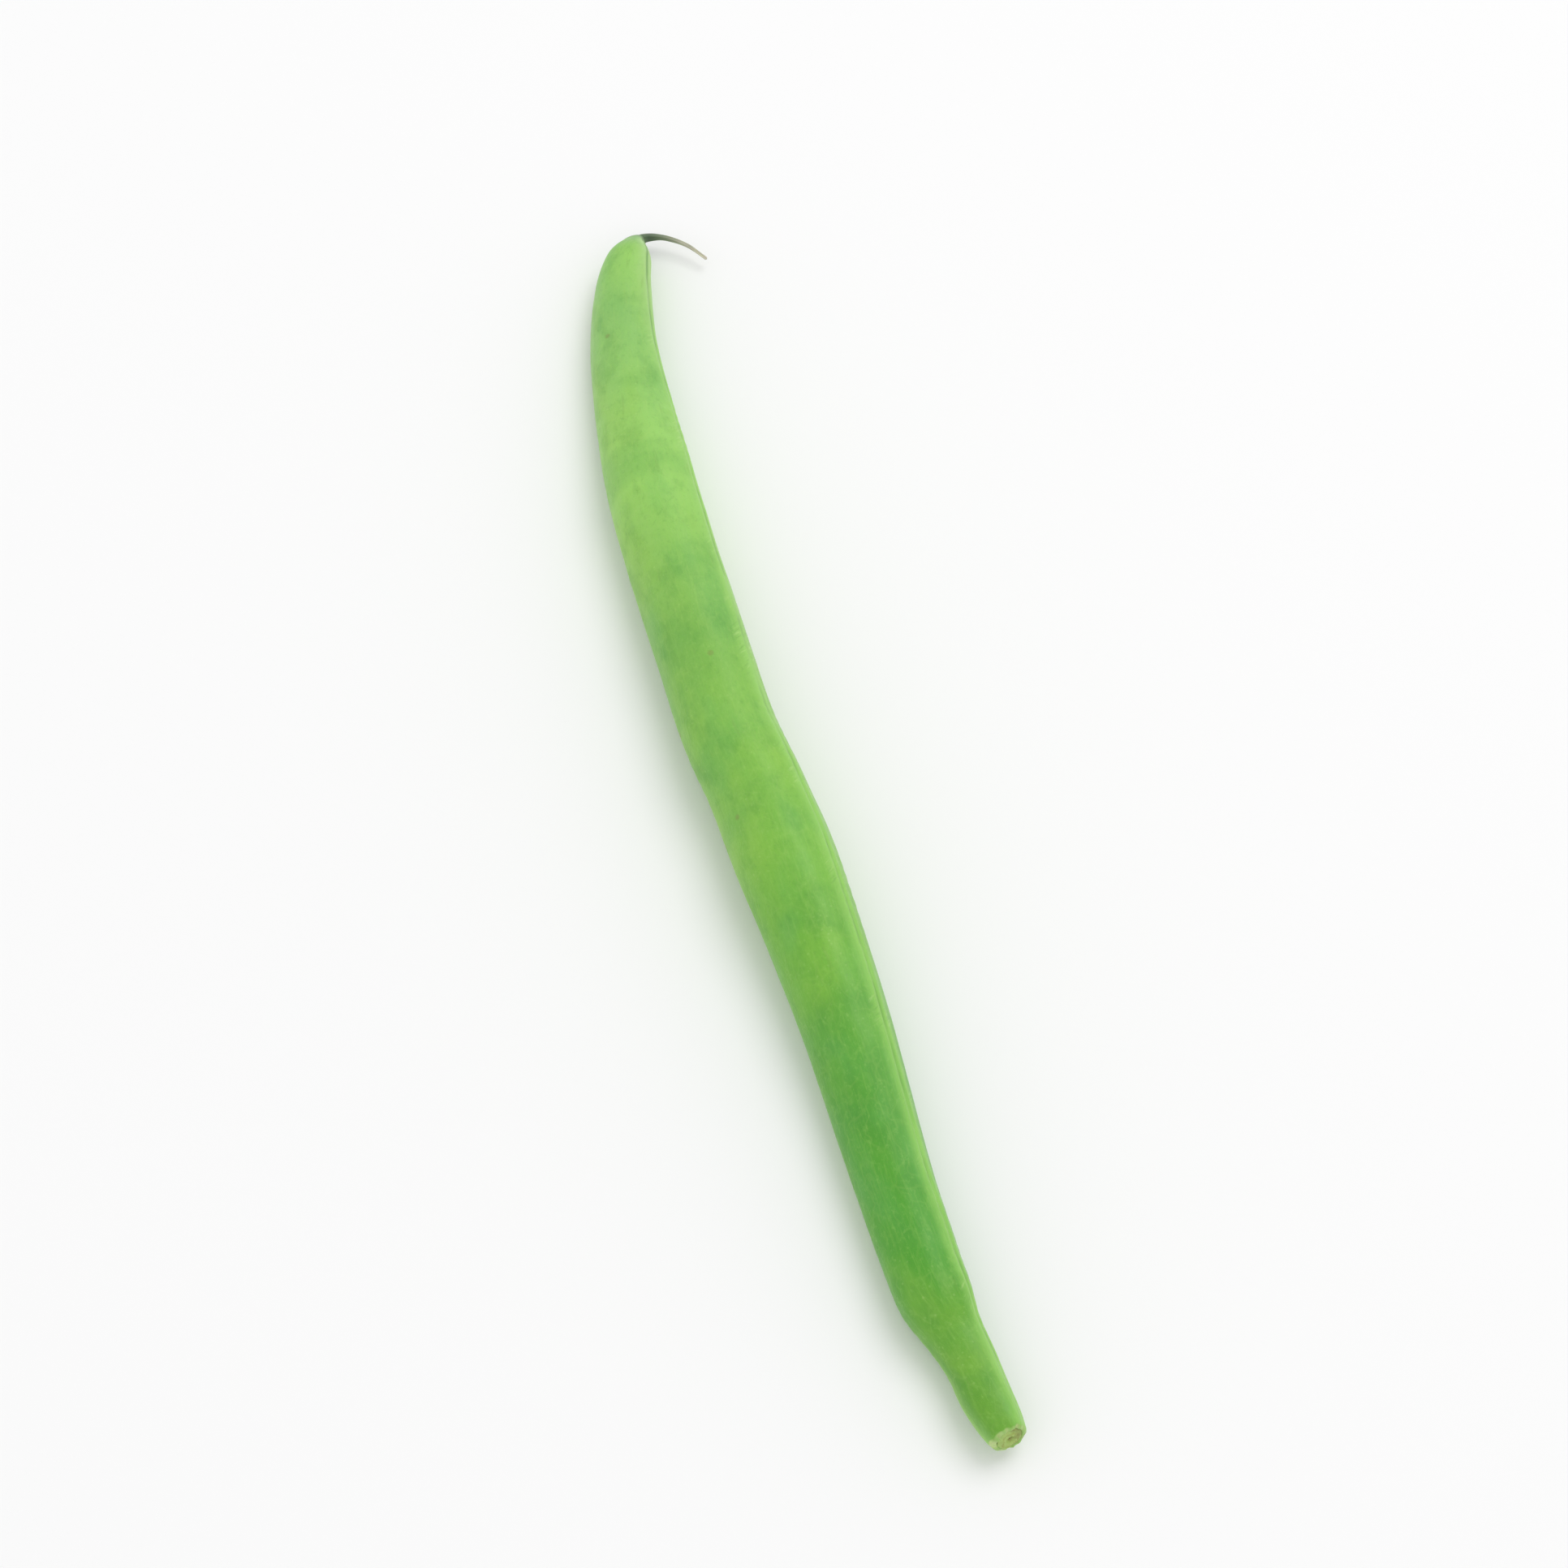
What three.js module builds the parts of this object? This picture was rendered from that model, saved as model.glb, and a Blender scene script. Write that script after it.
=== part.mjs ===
// A fresh green bean as picked, lying on its side: one pod, with the dried end of its stalk in its neck.
// Millimetres, +Z up. The pod runs along Y, from its neck at -Y to its beak and thread at +Y, on Z = 0.
import * as THREE from "three";

// Driving dimensions.
const POD_LENGTH = 119; // along Y, from the neck's end to the root of the thread
const POD_DEPTH = 8.5; // seam to seam, where the pod is fullest
const POD_THICKNESS = 7.5; // flat side to flat side at the same place
const POD_BOW = 3; // how far the spine bows sideways from the straight
const THREAD_REACH = 5.4; // how far the dried thread reaches sideways from the beak
const THREAD_DIAMETER = 0.55; // near its root; it thins towards its end
const REST_DEPTH = 0.15; // how deep the skin is pressed flat where the pod rests
const STEM_END_RISE = 0.2; // how far the dried end of the stalk stands out of the neck
const CLEARANCE = 0.08; // between the neck and the dried end of the stalk that sits in it

// The spine from above: how far along, as a share of the length, and how far sideways, as a share of the bow.
const SPINE = [
  [0.0, 1.03],
  [0.03, 0.76],
  [0.06, 0.62],
  [0.107, 0.22],
  [0.15, 0.1],
  [0.195, 0.05],
  [0.33, -0.03],
  [0.492, -0.49],
  [0.55, -0.79],
  [0.62, -0.88],
  [0.764, -0.94],
  [0.883, -0.62],
  [0.95, -0.05],
  [0.984, 0.53],
  [1.0, 0.95],
];
// The thread, which hooks over to one side: past the pod's end, and sideways, as shares of its reach.
const THREAD = [
  [-0.02, 0.34],
  [-0.25, 0.71],
  [-0.58, 1.0],
];
const THREAD_FALL = 0.6; // how far the thread dips from root to end
const THREAD_TAPER = 0.32; // its diameter at the end, as a share of that near its root
const THREAD_FLARE = 0.12; // the share of its length over which it swells into the beak

// Values along the pod. The first of each pair is the share of the way from the neck to the thread's root.
const DEPTH = [
  [0.0, 0.34],
  [0.012, 0.41],
  [0.03, 0.46],
  [0.055, 0.48],
  [0.08, 0.54],
  [0.105, 0.69],
  [0.13, 0.72],
  [0.2, 0.765],
  [0.31, 0.875],
  [0.395, 0.96],
  [0.445, 1.0],
  [0.49, 0.97],
  [0.54, 0.95],
  [0.58, 0.95],
  [0.62, 0.945],
  [0.68, 0.945],
  [0.74, 0.925],
  [0.79, 0.885],
  [0.87, 0.735],
  [0.94, 0.6],
  [0.972, 0.48],
  [0.988, 0.29],
  [1.0, 0.12],
]; // seam to seam, as a share of the pod's depth
const ROUNDNESS = [
  [0.0, 1.1],
  [0.1, 1.02],
  [0.3, 1.0],
  [0.75, 1.0],
  [0.95, 0.94],
  [1.0, 1.13],
]; // thickness over depth, as a share of the same ratio where the pod is fullest
const ROLL = [
  [0.0, 26],
  [0.15, 42],
  [0.32, 46],
  [0.5, 42],
  [0.75, 31],
  [0.9, 26],
  [1.0, 24],
]; // degrees by which the right-hand seam is turned up
const LIFT = [
  [0.0, 1.5],
  [0.1, 0.45],
  [0.2, 0.0],
  [0.3, 0.0],
  [0.52, 0.5],
  [0.72, 0.0],
  [0.84, 0.0],
  [0.93, 0.5],
  [1.0, 1.3],
]; // how high the underside stands above the surface, in millimetres

// The section: between an ellipse, whose exponent is 2, and a box with flat sides.
const SECTION_EXPONENT = 2.25;
const REACH_EXPONENT = SECTION_EXPONENT / (SECTION_EXPONENT - 1); // for how far it reaches when turned
// Each seam is a broad low rib with a groove along its middle. It fades out where the pod is thin.
const SEAM = { height: 0.26, halfWidth: 0.95, groove: 0.2, grooveHalfWidth: 0.26 };
const SEAM_FADES = { none: 0.9, full: 3 }; // by half the pod's depth there
// The seeds swell the flat sides. Their places are shares of the way to the thread's root.
const SEEDS = { count: 7, first: 0.215, last: 0.86, halfLength: 4.2, swelling: 0.2 };

// The neck's broken end, from the floor of its hollow and out over its rim: how far along the spine, in
// millimetres, and how wide, as a share of the neck there. It broke at a slant, furthest back at its top.
const RIM = [
  [0.6, 0.66],
  [0.1, 0.7],
  [0.0, 0.82],
  [0.14, 0.98],
];
const END_SLANT = 0.32; // how steeply it runs back towards its top
const SLANT_FADE = 2.2; // how far up the neck the slant dies away
// The dried end of the stalk, from its foot to the pit in its middle: how wide and how high, as shares.
const STEM_END_PROFILE = [
  [0.9, 0.0],
  [1.0, 0.15],
  [1.0, 0.72],
  [0.86, 0.96],
  [0.62, 1.0],
  [0.36, 0.88],
  [0.16, 0.66],
];

// Fineness of the mesh.
const POD_SIDES = 30; // points round each ring
const SEAM_CROWDING = 0.36; // how far, in radians, the points of a ring are drawn towards the seams
const STEM_END_SIDES = 20;
const BODY_STEP = 1.7; // distance between rings along the body
const TIP_STEP = 0.55; // the same at the neck's end, over the beak and along the thread
const NECK_TIP = 0.02; // where the wide steps begin, as a share of the way to the thread's root
const BEAK_TIP = 0.93; // where they end

// A smooth curve through pairs of a place and a value.
function through(pairs) {
  const places = pairs.map(([place]) => place);
  const values = pairs.map(([, value]) => value);
  const curve = new THREE.CubicInterpolant(places, values, 1, new Float64Array(1));
  return (place) => curve.evaluate(THREE.MathUtils.clamp(place, 0, 1))[0];
}

const depthAt = through(DEPTH);
const roundnessAt = through(ROUNDNESS);
const rollAt = through(ROLL);
const liftAt = through(LIFT);

// The spine from above, neck to beak and on along the thread, and its length to the thread's root and end.
function makeSpine() {
  const pod = SPINE.map(([along, side]) => new THREE.Vector3(side * POD_BOW, along * POD_LENGTH, 0));
  const root = pod.at(-1);
  const reach = THREAD.map(([along, side]) => new THREE.Vector3(side, along, 0).multiplyScalar(THREAD_REACH));
  const thread = reach.map((offset) => offset.add(root));
  const curve = new THREE.CatmullRomCurve3([...pod, ...thread]);
  return { curve, toRoot: new THREE.CatmullRomCurve3(pod).getLength(), toEnd: curve.getLength() };
}

const spine = makeSpine();
const alongPod = (distance) => Math.min(1, distance / spine.toRoot);
const alongThread = (distance) => Math.max(0, (distance - spine.toRoot) / (spine.toEnd - spine.toRoot));

// Half the depth and half the thickness of the section at a distance along the spine.
function halvesAt(distance) {
  const share = alongPod(distance);
  const halfDepth = (depthAt(share) * POD_DEPTH) / 2;
  const halfThickness = (halfDepth * roundnessAt(share) * POD_THICKNESS) / POD_DEPTH;
  const out = alongThread(distance);
  const thread = (THREAD_DIAMETER / 2) * THREE.MathUtils.lerp(1, THREAD_TAPER, out);
  const beak = Math.exp(-out / THREAD_FLARE);
  return {
    halfDepth: THREE.MathUtils.lerp(thread, halfDepth, beak),
    halfThickness: THREE.MathUtils.lerp(thread, halfThickness, beak),
  };
}

const rollRadiansAt = (distance) => THREE.MathUtils.degToRad(rollAt(alongPod(distance)));

// How high the spine runs: the section's reach downwards, plus its lift, and a gentle dip along the thread.
function heightAt(distance) {
  const { halfDepth, halfThickness } = halvesAt(Math.min(distance, spine.toRoot));
  const roll = rollRadiansAt(distance);
  const shares = [halfDepth * Math.sin(roll), halfThickness * Math.cos(roll)];
  const sum = shares.reduce((total, share) => total + share ** REACH_EXPONENT, 0);
  const reach = sum ** (1 / REACH_EXPONENT);
  return reach - REST_DEPTH + liftAt(alongPod(distance)) - THREAD_FALL * alongThread(distance) ** 2;
}

// The spine's point at a distance, with the directions along it, across it and upwards there.
function frameAt(distance) {
  const pointAt = (place) => {
    const clamped = THREE.MathUtils.clamp(place, 0, spine.toEnd);
    return spine.curve.getPointAt(clamped / spine.toEnd).setZ(heightAt(clamped));
  };
  const halfStep = TIP_STEP / 2;
  const tangent = pointAt(distance + halfStep).sub(pointAt(distance - halfStep)).normalize();
  const across = tangent.clone().cross(new THREE.Vector3(0, 0, 1)).normalize();
  const up = across.clone().cross(tangent).normalize();
  return { point: pointAt(distance), tangent, across, up };
}

// The swelling of the seeds at a distance along the spine: none between two of them, and in full over one.
function seedSwellingAt(distance) {
  let swelling = 0;
  for (let i = 0; i < SEEDS.count; i++) {
    const centre = THREE.MathUtils.lerp(SEEDS.first, SEEDS.last, i / (SEEDS.count - 1)) * spine.toRoot;
    swelling += SEEDS.swelling * Math.exp(-(((distance - centre) / SEEDS.halfLength) ** 2));
  }
  return swelling;
}

// How far a seam stands out, at a distance to the side of its middle.
function seamHeightAt(aside) {
  const rib = SEAM.height * Math.exp(-((aside / SEAM.halfWidth) ** 2));
  const groove = SEAM.groove * Math.exp(-((aside / SEAM.grooveHalfWidth) ** 2));
  return rib - groove;
}

// One point of the skin. Angle 0 is the right-hand seam and pi is the left-hand one.
function skinPoint(distance, frame, angle) {
  const { halfDepth, halfThickness } = halvesAt(distance);
  const fullness = THREE.MathUtils.smoothstep(halfDepth, SEAM_FADES.none, SEAM_FADES.full);
  const superellipse = (value) => Math.sign(value) * Math.abs(value) ** (2 / SECTION_EXPONENT);
  const swelling = seedSwellingAt(distance) * Math.sin(angle) ** 2 * fullness;
  const aside = superellipse(Math.sin(angle)) * (halfThickness + swelling);
  const seam = Math.sign(Math.cos(angle)) * seamHeightAt(aside) * fullness;
  const outwards = superellipse(Math.cos(angle)) * halfDepth + seam;
  const middle = new THREE.Vector2();
  const rolled = new THREE.Vector2(outwards, aside).rotateAround(middle, rollRadiansAt(distance));
  const point = frame.point.clone();
  point.addScaledVector(frame.across, rolled.x).addScaledVector(frame.up, rolled.y);
  return point.setZ(Math.max(0, point.z));
}

// A point near the neck's end, moved along the spine by the slant at which the neck broke.
function slanted(point, distance, frame) {
  const aside = point.clone().sub(frame.point);
  const slant = END_SLANT * Math.exp(-((distance / SLANT_FADE) ** 2));
  return point.addScaledVector(frame.tangent, slant * aside.dot(frame.up));
}

// The distances of the rings, from just inside the neck's end to just short of the thread's end.
function ringDistances() {
  const distances = [];
  let distance = RIM.at(-1)[0] + TIP_STEP;
  while (distance < spine.toEnd - TIP_STEP / 2) {
    distances.push(distance);
    const share = distance / spine.toRoot;
    distance += share < NECK_TIP || share >= BEAK_TIP ? TIP_STEP : BODY_STEP;
  }
  return distances;
}

// A closed skin through rings of points, with a flat floor in its first ring and a point at its tip.
function skinThrough(rings, tip) {
  const sides = rings[0].length;
  const start = new THREE.Vector3();
  rings[0].forEach((point) => start.addScaledVector(point, 1 / sides));
  const points = [start, ...rings.flat(), tip];
  const at = (ring, side) => 1 + ring * sides + (side % sides);
  const last = rings.length - 1;
  const index = [];
  for (let side = 0; side < sides; side++) {
    index.push(0, at(0, side), at(0, side + 1));
    for (let ring = 0; ring < last; ring++) {
      index.push(at(ring, side), at(ring + 1, side), at(ring, side + 1));
      index.push(at(ring, side + 1), at(ring + 1, side), at(ring + 1, side + 1));
    }
    index.push(points.length - 1, at(last, side + 1), at(last, side));
  }
  const geometry = new THREE.BufferGeometry().setFromPoints(points).setIndex(index);
  geometry.computeVertexNormals();
  return geometry;
}

// The pod, drawn out at its far end into the beak and the thread. It grew as one piece.
function makePod() {
  const angles = Array.from({ length: POD_SIDES }, (_, i) => {
    const even = (2 * Math.PI * i) / POD_SIDES;
    return even - SEAM_CROWDING * Math.sin(2 * even);
  });
  const ringAt = (distance, width = 1) => {
    const frame = frameAt(distance);
    const points = angles.map((angle) => skinPoint(distance, frame, angle).lerp(frame.point, 1 - width));
    return points.map((point) => slanted(point, distance, frame));
  };
  const rim = RIM.map(([distance, width]) => ringAt(distance, width));
  const rings = [...rim, ...ringDistances().map((distance) => ringAt(distance))];
  const skin = new THREE.MeshStandardMaterial({ color: 0x7fb45a, roughness: 0.5, metalness: 0 });
  const pod = new THREE.Mesh(skinThrough(rings, frameAt(spine.toEnd).point), skin);
  pod.name = "pod";
  return pod;
}

// The dried end of the stalk: a plug of torn fibres, sunk in the middle, that sits in the neck's hollow.
function makeStemEnd() {
  const [floor, width] = RIM[0];
  const { halfDepth, halfThickness } = halvesAt(0);
  const radius = Math.min(halfDepth, halfThickness) * width - CLEARANCE;
  const height = floor - CLEARANCE + STEM_END_RISE;
  const side = STEM_END_PROFILE.map(([out, up]) => new THREE.Vector2(out * radius, up * height));
  const pit = new THREE.Vector2(0, side.at(-1).y);
  const dried = new THREE.MeshStandardMaterial({ color: 0x9a8a52, roughness: 0.9, metalness: 0 });
  const geometry = new THREE.LatheGeometry([new THREE.Vector2(), ...side, pit], STEM_END_SIDES);
  geometry.applyMatrix4(new THREE.Matrix4().makeShear(0, 0, 0, 0, 0, END_SLANT));
  const stemEnd = new THREE.Mesh(geometry, dried);
  const { point, tangent, across, up } = frameAt(0);
  const outwards = tangent.clone().negate();
  stemEnd.setRotationFromMatrix(new THREE.Matrix4().makeBasis(across, outwards, up.negate()));
  stemEnd.position.copy(point).addScaledVector(tangent, floor - CLEARANCE);
  stemEnd.name = "stem_end";
  return stemEnd;
}

// The whole bean, with its origin under the middle of its box, on the surface that it lies on.
function makeBean() {
  const bean = new THREE.Group();
  bean.add(makePod(), makeStemEnd());
  const box = new THREE.Box3().setFromObject(bean, true);
  const middle = box.getCenter(new THREE.Vector3());
  bean.position.set(-middle.x, -middle.y, -box.min.z);
  return bean;
}

export default makeBean();
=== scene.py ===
import math

import bpy
import numpy as np
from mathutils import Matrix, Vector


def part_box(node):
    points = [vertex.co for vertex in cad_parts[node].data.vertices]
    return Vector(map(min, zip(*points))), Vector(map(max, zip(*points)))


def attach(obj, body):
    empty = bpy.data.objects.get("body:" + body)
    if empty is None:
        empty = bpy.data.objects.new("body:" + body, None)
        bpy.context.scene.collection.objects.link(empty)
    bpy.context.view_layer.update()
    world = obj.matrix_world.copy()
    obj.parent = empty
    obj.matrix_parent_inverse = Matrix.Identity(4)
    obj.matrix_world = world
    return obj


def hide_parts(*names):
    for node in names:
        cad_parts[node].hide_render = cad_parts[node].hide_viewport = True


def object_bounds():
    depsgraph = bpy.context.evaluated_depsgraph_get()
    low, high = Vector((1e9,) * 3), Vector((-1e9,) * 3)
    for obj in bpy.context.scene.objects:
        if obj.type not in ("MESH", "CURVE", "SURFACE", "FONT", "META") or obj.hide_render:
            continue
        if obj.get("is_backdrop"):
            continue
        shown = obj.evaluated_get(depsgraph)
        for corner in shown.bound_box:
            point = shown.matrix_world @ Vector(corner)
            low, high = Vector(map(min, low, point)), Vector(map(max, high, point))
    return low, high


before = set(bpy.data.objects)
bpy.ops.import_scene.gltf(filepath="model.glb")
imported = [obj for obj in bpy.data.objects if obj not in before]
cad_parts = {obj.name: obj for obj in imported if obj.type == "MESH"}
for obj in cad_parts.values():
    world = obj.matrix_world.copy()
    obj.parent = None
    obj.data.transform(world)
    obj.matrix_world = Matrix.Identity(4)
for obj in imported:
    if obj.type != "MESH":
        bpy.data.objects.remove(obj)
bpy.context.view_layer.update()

# The pod: the whole fruit, a long closed wall of fresh green tissue round a row of seeds. It grew as one
# piece from the neck, where it hung, to the beak, which the dried thread of the flower still hooks over.
# Two seams run its length, one along each edge, and the seeds swell its flatter sides.

MM = 0.001
POD_LENGTH = 119  # from the neck's end to the root of the thread, along Y
POD_DEPTH = 8.5  # seam to seam, where the pod is fullest
POD_THICKNESS = 7.5  # flat side to flat side at the same place
POD_BOW = 3  # how far the spine bows sideways from the straight
THREAD_REACH = 5.4  # how far the thread reaches sideways from the beak
THREAD_DIAMETER = 0.55  # near its root
THREAD_TAPER = 0.32  # its diameter at the end, as a share of that
THREAD_FLARE = 0.12  # the share of its length over which it swells into the beak
THREAD_FALL = 0.6  # how far it dips from root to end
REST_DEPTH = 0.15  # how deep the skin is pressed flat where the pod rests

# The spine from above: how far along, as a share of the length, and how far sideways, as a share of the bow.
SPINE = [
    (0.0, 1.03), (0.03, 0.76), (0.06, 0.62), (0.107, 0.22), (0.15, 0.1), (0.195, 0.05), (0.33, -0.03),
    (0.492, -0.49), (0.55, -0.79), (0.62, -0.88), (0.764, -0.94), (0.883, -0.62), (0.95, -0.05),
    (0.984, 0.53), (1.0, 0.95),
]  # fmt: skip
# The thread from above, which hooks back: how far past the pod's end, and how far sideways, as shares of its
# reach.
THREAD = [(-0.02, 0.34), (-0.25, 0.71), (-0.58, 1.0)]
# Values along the pod, each with its share of the way from the neck to the thread's root.
DEPTH = [
    (0.0, 0.34), (0.012, 0.41), (0.03, 0.46), (0.055, 0.48), (0.08, 0.54), (0.105, 0.69), (0.13, 0.72),
    (0.2, 0.765), (0.31, 0.875), (0.395, 0.96), (0.445, 1.0), (0.49, 0.97), (0.54, 0.95), (0.58, 0.95),
    (0.62, 0.945), (0.68, 0.945), (0.74, 0.925), (0.79, 0.885), (0.87, 0.735), (0.94, 0.6), (0.972, 0.48),
    (0.988, 0.29), (1.0, 0.12),
]  # fmt: skip
ROUNDNESS = [(0.0, 1.1), (0.1, 1.02), (0.3, 1.0), (0.75, 1.0), (0.95, 0.94), (1.0, 1.13)]
ROLL = [(0.0, 26), (0.15, 42), (0.32, 46), (0.5, 42), (0.75, 31), (0.9, 26), (1.0, 24)]
LIFT = [
    (0.0, 1.5), (0.1, 0.45), (0.2, 0.0), (0.3, 0.0), (0.52, 0.5), (0.72, 0.0), (0.84, 0.0),
    (0.93, 0.5), (1.0, 1.3),
]  # fmt: skip
SECTION_EXPONENT = 2.25
REACH_EXPONENT = SECTION_EXPONENT / (SECTION_EXPONENT - 1)  # gives how far it reaches when it is turned
# The neck's broken end, from the floor of its hollow and out over its rim: a share of the way over it, how
# far along the spine, in millimetres, and how wide, as a share of the neck there.
RIM = [(0.0, 0.6, 0.66), (0.4, 0.1, 0.7), (0.7, 0.0, 0.82), (1.0, 0.14, 0.98)]
END_SLANT = 0.32  # the neck broke at a slant: how steeply it runs back towards its top
SLANT_FADE = 2.2  # how far up the neck the slant dies away
TEAR_RAGGED = 0.08  # how far the skin's torn edge wanders down the neck
TEAR_LEFT = 0.16  # how much further down it tore on the left, and less far on the right
TEAR_BELOW = 0.14  # the same underneath and on top
SKIN_TEAR = (0.02, 0.34)  # how far past the tear the flesh is still bare, and where the skin is whole
HOLLOW_COARSE = 0.05  # how far the hollow is out of round, as a share of its width
HOLLOW_FINE = 0.03  # how uneven its wall is besides
HOLLOW_FADE = (0.5, 1)  # the shares of the way over the rim between which that dies away
EDGE_JUT = 0.1  # how far the torn edge juts in and out along the neck
EDGE_REACH = 0.2  # how far up the neck that dies away
# Each seed: its place as a share of the way along, how far it swells the wall, and how far it lies off the
# middle of the flat side, towards the left-hand seam, as a share of the depth.
SEEDS = [
    (0.215, 0.13, 0.05), (0.325, 0.2, 0.1), (0.43, 0.24, 0.06), (0.535, 0.22, 0.12),
    (0.645, 0.2, 0.08), (0.755, 0.23, 0.1), (0.858, 0.14, 0.06),
]  # fmt: skip
SEED_HALF_LENGTH = 4.2  # along the pod
SEED_HALF_BREADTH = 0.85  # across its flat side, as a share of half the depth
# A seam is a broad low rib with a groove along its middle: the rib's height and half width, then the groove's
# depth and half width.
RIGHT_SEAM = (0.25, 0.92, 0.12, 0.2)
LEFT_SEAM = (0.22, 0.8, 0.11, 0.19)
VALLEY_DEPTH = 0.15  # of the shallow valley at each foot of a rib, as a share of the rib's height
VALLEY_PLACE = 1.9  # how far out it lies, as a share of the rib's half width
VALLEY_WIDTH = 0.6  # its own half width, as a share of the same
SEAM_WAVER = 0.1  # how far a seam strays to either side
GROOVE_MEAN = 0.55  # the share of its full depth that a groove has on the whole
GROOVE_SWING = 0.75  # and how much that share varies either way
SEAM_CLIMB = 0.5  # how far the right-hand seam moves up over the beak
CLIMB_SHARES = (0.82, 0.97)  # where along the pod it does
FULL_BETWEEN = (0.9, 3)  # the half depths between which seeds, seams and dents come to their full height
BROAD_DENT = 0.06  # how deep, as the next few are too
FINE_DENT = 0.03
GRAIN = 0.01
CREASE_DEPTH = 0.014
CREASE_SPACING = 1.25
CREASE_WAVER = 0.8  # how far a crease strays along the pod
FLUTES = 5  # round the neck
FLUTE_DEPTH = 0.045
FLUTE_TURN = 0.7  # how far on in their wave the right-hand seam is, in radians
FLUTE_REACH = 7  # how far up the neck they die away
THREAD_RIBS = 3  # round the thread
THREAD_RIB_HEIGHT = 0.05
THREAD_ROUGHNESS = 0.04  # how far noise raises and sinks them
THREAD_TWIST = 0.5  # of its ribs, in radians to the millimetre
SPINE_PLACES = 8000  # at which the spine is worked out
POD_SIDES = 124
SIDE_CROWDING = 0.3  # how much the sides are drawn together at the seams
RIM_RINGS = 22
CLOSE_UP_TO = 2.5  # how far up the neck the rings stand close together
CLOSE_AGAIN_FROM = 0.93  # the share of the way to the thread's root from which they do so again
BODY_STEP = 0.21  # between two rings of the body
TIP_STEP = 0.11  # between two rings that stand close together
# Large numbers with no common measure, which scatter the noise's values at neighbouring corners.
HASH_STEPS = (127.1, 311.7, 74.7)
HASH_SPREAD = 43758.5453


def smooth(pairs, at):
    """The values at the places in `at` of a curve through pairs of a place and a value. Between two pairs it
    is the cubic whose slope at each is the slope from its neighbour before to its neighbour after."""
    place, value = np.array(pairs, float).T
    slope = np.gradient(value, place, edge_order=1)
    slope[1:-1] = (value[2:] - value[:-2]) / (place[2:] - place[:-2])
    i = np.clip(np.searchsorted(place, at) - 1, 0, len(place) - 2)
    gap = place[i + 1] - place[i]
    t = np.clip((at - place[i]) / gap, 0, 1)
    start = (1 + 2 * t) * (1 - t) ** 2 * value[i] + t * (1 - t) ** 2 * gap * slope[i]
    end = t**2 * (3 - 2 * t) * value[i + 1] - t**2 * (1 - t) * gap * slope[i + 1]
    return start + end


def fade(value, low, high):
    """0 below low, 1 above high, and a smooth step between."""
    t = np.clip((value - low) / (high - low), 0, 1)
    return t * t * (3 - 2 * t)


def drift(points, size, seed):
    """Smooth noise from -1 to 1: a hashed value at each corner of boxes of the given size, blended between
    the eight corners round each point by a smooth step."""
    place = points / np.array(size)
    cell = np.floor(place)
    part = fade(place - cell, 0, 1)
    total = np.zeros(points.shape[:-1])
    for corner in np.ndindex(2, 2, 2):
        hashed = np.sin((cell + corner) @ np.array(HASH_STEPS) + seed) * HASH_SPREAD
        weight = np.prod(np.where(corner, part, 1 - part), axis=-1)
        total += weight * (2 * (hashed - np.floor(hashed)) - 1)
    return total


def unit(vectors):
    """Each vector divided by its length."""
    return vectors / np.linalg.norm(vectors, axis=-1, keepdims=True)


def spine_of(points):
    """A smooth path through points: each coordinate is a smooth curve of the summed square roots of the gaps
    between them. Gives places all along it, their distances along it, and the distance of each point."""
    gaps = np.sqrt(np.linalg.norm(np.diff(points, axis=0), axis=1))
    knots = np.concatenate([[0], np.cumsum(gaps)])
    at = np.linspace(0, knots[-1], SPINE_PLACES)
    path = np.stack([smooth(np.stack([knots, axis], 1), at) for axis in points.T], 1)
    distance = np.concatenate([[0], np.cumsum(np.linalg.norm(np.diff(path, axis=0), axis=1))])
    return path, distance, np.interp(knots, at, distance)


spine_points = np.array([(side * POD_BOW, along * POD_LENGTH) for along, side in SPINE])
thread_points = [spine_points[-1] + (side * THREAD_REACH, along * THREAD_REACH) for along, side in THREAD]
spine_path, spine_distance, knot_distance = spine_of(np.concatenate([spine_points, thread_points]))
to_root = knot_distance[len(SPINE) - 1]
to_end = knot_distance[-1]


def halves_at(distance):
    """Half the depth and half the thickness of the section: the tables' values over the pod, which swell out
    of the thread's own taper and die away along it as e to the minus distance."""
    share = np.minimum(1, distance / to_root)
    half_depth = smooth(DEPTH, share) * POD_DEPTH / 2
    half_thickness = half_depth * smooth(ROUNDNESS, share) * POD_THICKNESS / POD_DEPTH
    out = np.maximum(0, (distance - to_root) / (to_end - to_root))
    thread = THREAD_DIAMETER / 2 * (1 + (THREAD_TAPER - 1) * out)
    beak = np.exp(-out / THREAD_FLARE)
    return thread + (half_depth - thread) * beak, thread + (half_thickness - thread) * beak


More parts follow.
